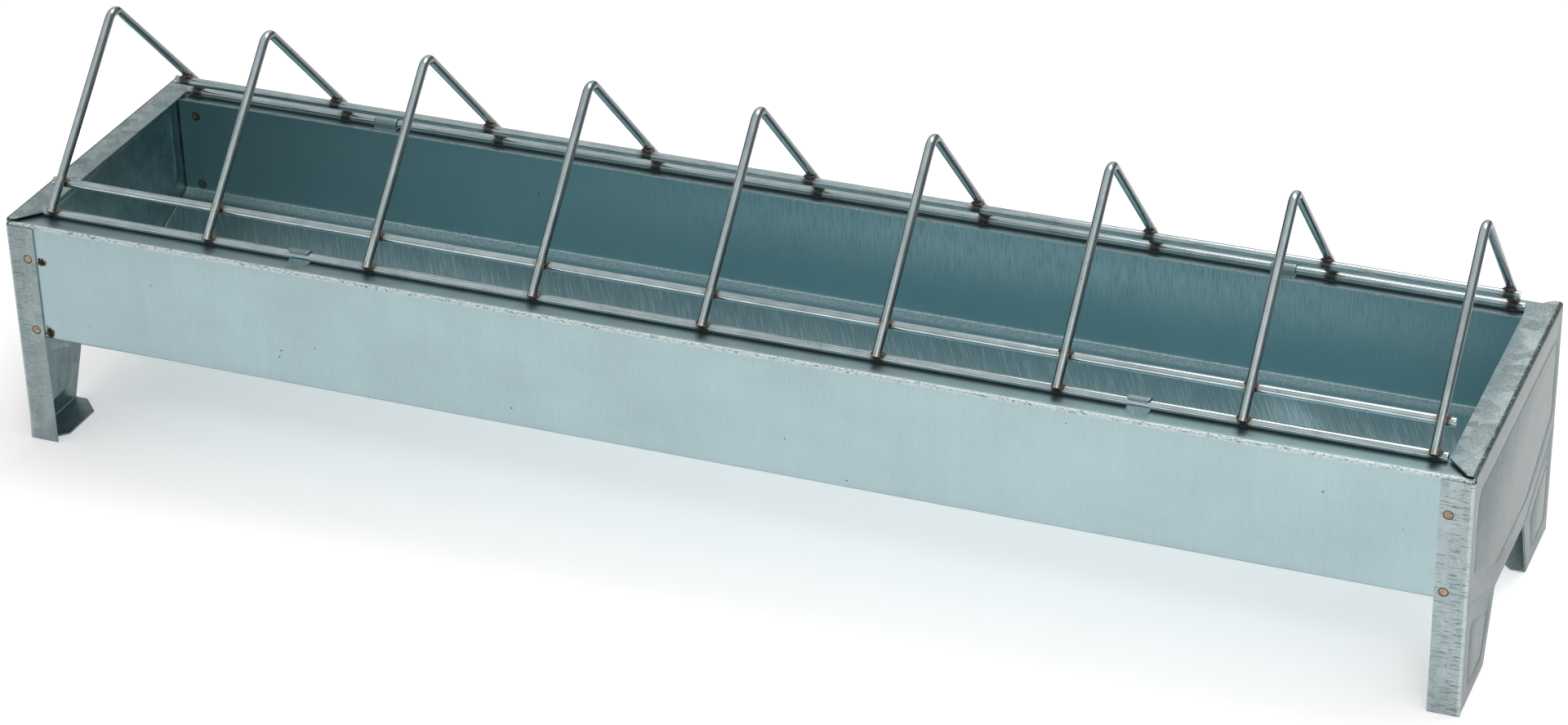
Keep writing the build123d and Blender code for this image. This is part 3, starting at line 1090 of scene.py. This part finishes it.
def end_cap_sheet():
    panel = cap_panel()
    press_panel(panel)
    fold_cap(panel)
    even_normals(panel)
    mesh = panel.data
    outward = sum(face.normal.x * face.area for face in mesh.polygons)
    if outward < 0:
        mesh.flip_normals()
    thicken(panel)
    open_up(panel)
    # No corner of a tab may stand below the floor.
    pick("VERT", lambda p: p.z < 0.0)
    resize(1, 1, 0, (0, 0, 0))
    close_up()
    punch(panel, [
        weld_punch(SPOT_X, face * (HALF_WIDTH - SHEET / 2), height)
        for face in (-1, 1) for height in SPOT_HEIGHTS
    ])
    soften_edges(panel, 0.09, 1, 60)
    return panel


def both_caps():
    right = end_cap_sheet()
    left = copy_of(right, "left")
    open_up(left)
    pick_all()
    bpy.ops.transform.mirror(constraint_axis=(True, False, False), center_override=(0, 0, 0))
    bpy.ops.mesh.flip_normals()
    close_up()
    for name, piece in (("right", right), ("left", left)):
        finished(
            piece, "end_cap_sheet_" + name, "frame", "galvanised_cap",
            FINISHES["galvanised_cap"], "end_cap_" + name,
        )


# Spot welds

def weld_button():
    """One spot weld: a plug with a dished face outside and inside."""
    put_down()
    bpy.ops.mesh.primitive_cylinder_add(
        vertices=28, radius=SPOT_RADIUS, depth=2 * SHEET, rotation=(math.pi / 2, 0, 0)
    )
    button = bpy.context.object
    settle()
    open_up(button)
    for face in (-1, 1):
        pick("FACE", lambda p: near(p.y, face * SHEET))
        for width, depth in ((0.18, 0.0), (0.22, -0.06), (0.35, -0.09), (0.40, -0.04)):
            bpy.ops.mesh.inset(thickness=width)
            shift(y=face * depth)
    close_up()
    return button


def spot_welds():
    button = weld_button()
    for name, side in SIDES.items():
        row = []
        for face in (-1, 1):
            for height in SPOT_HEIGHTS:
                twin = copy_of(button, "button")
                twin.location = (side * SPOT_X, face * (HALF_WIDTH - SHEET), height)
                row.append(twin)
        finished(
            joined(row), "spot_weld_buttons_" + name, "frame", "spot_weld",
            FINISHES["spot_weld"], "spot_welds_" + name,
        )
    bpy.data.objects.remove(button)


# Grille

def hoop_blank():
    """A hoop at x = 0: up one leg, round the apex and down the other, with cropped feet."""
    foot_y, foot_z = leg_point(-1, -FOOT_OVERRUN, AXIS_GAP)
    apex_z = foot_z - foot_y * math.tan(LEG_SLOPE)
    straight = -foot_y / math.cos(LEG_SLOPE) - APEX_BEND * math.tan(LEG_SLOPE)
    bend_z = apex_z - APEX_BEND / math.cos(LEG_SLOPE)
    step_y, step_z = math.cos(LEG_SLOPE), math.sin(LEG_SLOPE)
    put_down()
    bpy.ops.mesh.primitive_circle_add(
        vertices=20, radius=WIRE_RADIUS, fill_type="NGON",
        location=(0, foot_y, foot_z), rotation=(LEG_SLOPE - math.pi / 2, 0, 0),
    )
    wire = bpy.context.object
    settle()
    lengths = (*FOOT_STEPS, straight - sum(FOOT_STEPS))
    open_up(wire)
    pick_all()
    for length in lengths:
        pull_out(y=step_y * length, z=step_z * length)
    bpy.ops.mesh.spin(steps=14, angle=2 * LEG_SLOPE, axis=(1, 0, 0), center=(0, 0, bend_z))
    for length in reversed(lengths):
        pull_out(y=step_y * length, z=-step_z * length)
    pick("VERT", lambda p: p.z > bend_z + 1.2)
    resize(1.07, 1, 1, (0, 0, bend_z))
    close_up()
    even_normals(wire)
    return wire


def hoops():
    chance = random.Random(9)
    blank = hoop_blank()
    for number, x in enumerate(HOOP_XS, start=1):
        wire = copy_of(blank, "wire")
        wire.location = (x, 0, 0)
        take_up(wire)
        settle()
        open_up(wire)
        pick_all()
        lean = math.radians(chance.uniform(-HOOP_LEAN, HOOP_LEAN))
        bpy.ops.transform.rotate(value=lean, orient_axis="Y", center_override=(x, 0, ROD_Z))
        for side in (-1, 1):
            end_y, end_z = leg_point(side, -FOOT_OVERRUN, AXIS_GAP)
            pick("FACE", lambda p: side * p.y > abs(end_y) - 1.3 and abs(p.z - end_z) < 1.3)
            crop = math.radians(chance.uniform(-FOOT_CROP, FOOT_CROP))
            bpy.ops.transform.rotate(value=crop, orient_axis="X", center_override=(x, end_y, end_z))
            bpy.ops.mesh.inset(thickness=0.12)
        close_up()
        finished(
            wire, "hoop_wire_%d" % number, "grille", "grille_wire",
            FINISHES["hoop"], "hoop_%d" % number,
        )
    bpy.data.objects.remove(blank)


def rod_blank():
    """A straight rod on the X axis, pinched a little where each hoop is welded to it."""
    put_down()
    bpy.ops.mesh.primitive_cylinder_add(
        vertices=24, radius=WIRE_RADIUS, depth=2 * ROD_HALF, rotation=(0, math.pi / 2, 0)
    )
    bar = bpy.context.object
    settle()
    open_up(bar)
    for x in HOOP_XS:
        for offset in (-PINCH_REACH, 0.0, PINCH_REACH):
            pick_all()
            slice_at((x + offset, 0, 0), (1, 0, 0))
        pick("VERT", lambda p: near(p.x, x, 0.05))
        resize(1, ROD_PINCH, ROD_PINCH, (x, 0, 0))
    for side in (-1, 1):
        pick("FACE", lambda p: near(p.x, side * ROD_HALF))
        bpy.ops.mesh.inset(thickness=0.18)
        pick("EDGE", lambda p: near(p.x, side * ROD_HALF) and math.hypot(p.y, p.z) > WIRE_RADIUS - 0.05)
        bpy.ops.mesh.bevel(offset=0.1, segments=2, affect="EDGES")
    close_up()
    return bar


def grille_rods():
    blank = rod_blank()
    for name, (face, along) in RODS.items():
        y, z = leg_point(face, along, 0)
        bar = copy_of(blank, "bar")
        bar.location = (0, y, z)
        finished(
            bar, "rod_wire_" + name, "grille", "grille_wire",
            FINISHES["rod"], "rod_" + name,
        )
    bpy.data.objects.remove(blank)


def weld_bead():
    """The lump squeezed out at one crossing: a low mound with thin wings along the rod."""
    put_down()
    bpy.ops.mesh.primitive_uv_sphere_add(segments=20, ring_count=12, radius=1)
    bead = bpy.context.object
    bead.scale = BEAD_SIZE
    settle()
    open_up(bead)
    pick("VERT", lambda p: abs(p.x) > BEAD_WING)
    resize(1.0, 0.70, 0.60, (0, 0, -0.15))
    close_up()
    lumps = bpy.data.textures.new("weld_lumps", "CLOUDS")
    lumps.noise_scale = 1.1
    apply_tool(bead, "DISPLACE", texture=lumps, texture_coords="LOCAL", strength=0.35, mid_level=0.5)
    return bead


def grille_welds():
    chance = random.Random(36)
    blank = weld_bead()
    for name, (face, along) in RODS.items():
        row = []
        for x in HOOP_XS:
            y, z = leg_point(face, along + 0.5, AXIS_GAP / 2 - 0.1)
            bead = copy_of(blank, "bead")
            bead.location = (x + chance.uniform(-0.25, 0.25), y, z)
            flip = math.pi if chance.random() < 0.5 else 0.0
            tilt = Quaternion((1, 0, 0), -face * LEG_SLOPE) @ Quaternion((0, 0, 1), flip)
            bead.rotation_euler = tilt.to_euler()
            spreads = ((0.86, 1.06), (0.9, 1.08), (0.88, 1.08))
            bead.scale = [chance.uniform(*spread) for spread in spreads]
            row.append(bead)
        finished(
            joined(row), "weld_beads_" + name, "grille", "weld_metal",
            FINISHES["weld_metal"], "welds_" + name, smooth=60,
        )
    bpy.data.objects.remove(blank)


trough_sheet()
for side_name, side_sign in SIDES.items():
    hinge_knuckle(side_name, side_sign)
    latch_tongue(side_name, side_sign)
both_caps()
spot_welds()
hoops()
grille_rods()
grille_welds()


# Floor, light and camera

def studio_floor():
    put_down()
    bpy.ops.mesh.primitive_plane_add(size=12, location=(0, 0, 0))
    floor = bpy.context.object
    floor.name = "studio_floor"
    f = Finish("pale_paper_painted_glow")
    fibre = f.noise(f.place, (40.0, 40.0, 40.0), detail=2.0)
    colour = f.colour(fibre, [(0.3, (0.86, 0.86, 0.86)), (0.7, (0.88, 0.88, 0.88))])
    along = f.x / METRE
    # Painted light: the floor glows by itself with a warm tint, brightest just right of middle and dimmer
    # towards -X and towards far +X, which lifts the shadow under the trough.
    painted_floor_light = along.above(-0.5, 0.1) * (0.35 + along.above(0.75, 0.28) * 0.65)
    glow = f.colour(painted_floor_light, [(0.0, (0.55, 0.52, 0.52)), (1.0, (0.98, 0.91, 0.90))])
    emission = {"Emission Color": glow, "Emission Strength": 0.44}
    paper = f.metal(colour, 0.9, f.bump(fibre, 0.01), 0.0, **emission)
    floor.data.materials.append(paper)


def studio_sky():
    """A pale room: dim at the floor, bright above the horizon, and darker towards -X."""
    world = bpy.data.worlds.new("studio_room")
    bpy.context.scene.world = world
    f = Finish("studio_room", world)
    direction = f.node("TexCoord", output="Generated")
    height = f.node("SeparateXYZ", inputs={0: direction}, output="Z")
    levels = [(0.0, 0.30), (0.14, 0.30), (0.34, 0.76), (0.60, 0.84), (1.0, 0.74)]
    rising = f.colour(height, [(place, (level,) * 3) for place, level in levels])
    across = f.node("SeparateXYZ", inputs={0: direction}, output="X")
    colour = f.blend(across.above(0.5, -0.7) * 0.45, rising, (0.30, 0.31, 0.31))
    shade = f.node("Background", inputs={"Color": colour, "Strength": 1.0})
    f.node("OutputWorld", inputs={"Surface": shade})


def soft_box(name, place, aim, size, power):
    light = bpy.data.lights.new(name, "AREA")
    light.shape = "RECTANGLE"
    light.size, light.size_y = size
    light.energy = power
    lamp = bpy.data.objects.new(name, light)
    lamp.location = place
    lamp.rotation_euler = (Vector(aim) - Vector(place)).to_track_quat("-Z", "Y").to_euler()
    bpy.context.scene.collection.objects.link(lamp)


def studio_camera():
    azimuth, elevation, roll = math.radians(22.57), math.radians(29.24), math.radians(1.42)
    view = bpy.data.cameras.new("camera")
    view.lens = 96.07
    view.sensor_width = 36.0
    view.clip_start, view.clip_end = 0.05, 60.0
    camera = bpy.data.objects.new("camera", view)
    camera.location = (0.4675, -1.1093, 0.7194)
    ahead = Vector((
        -math.sin(azimuth) * math.cos(elevation),
        math.cos(azimuth) * math.cos(elevation),
        -math.sin(elevation),
    ))
    camera.rotation_mode = "QUATERNION"
    camera.rotation_quaternion = ahead.to_track_quat("-Z", "Y") @ Quaternion((0, 0, 1), -roll)
    bpy.context.scene.collection.objects.link(camera)
    bpy.context.scene.camera = camera


studio_floor()
studio_sky()
soft_box("overhead_box", (0.3, 0.7, 1.9), (0, 0, 0), (1.4, 1.0), 15.0)
soft_box("front_box", (0.9, -1.5, 1.7), (0, 0, 0.05), (0.45, 0.45), 6.0)
studio_camera()
bpy.context.scene.view_settings.view_transform = "Standard"
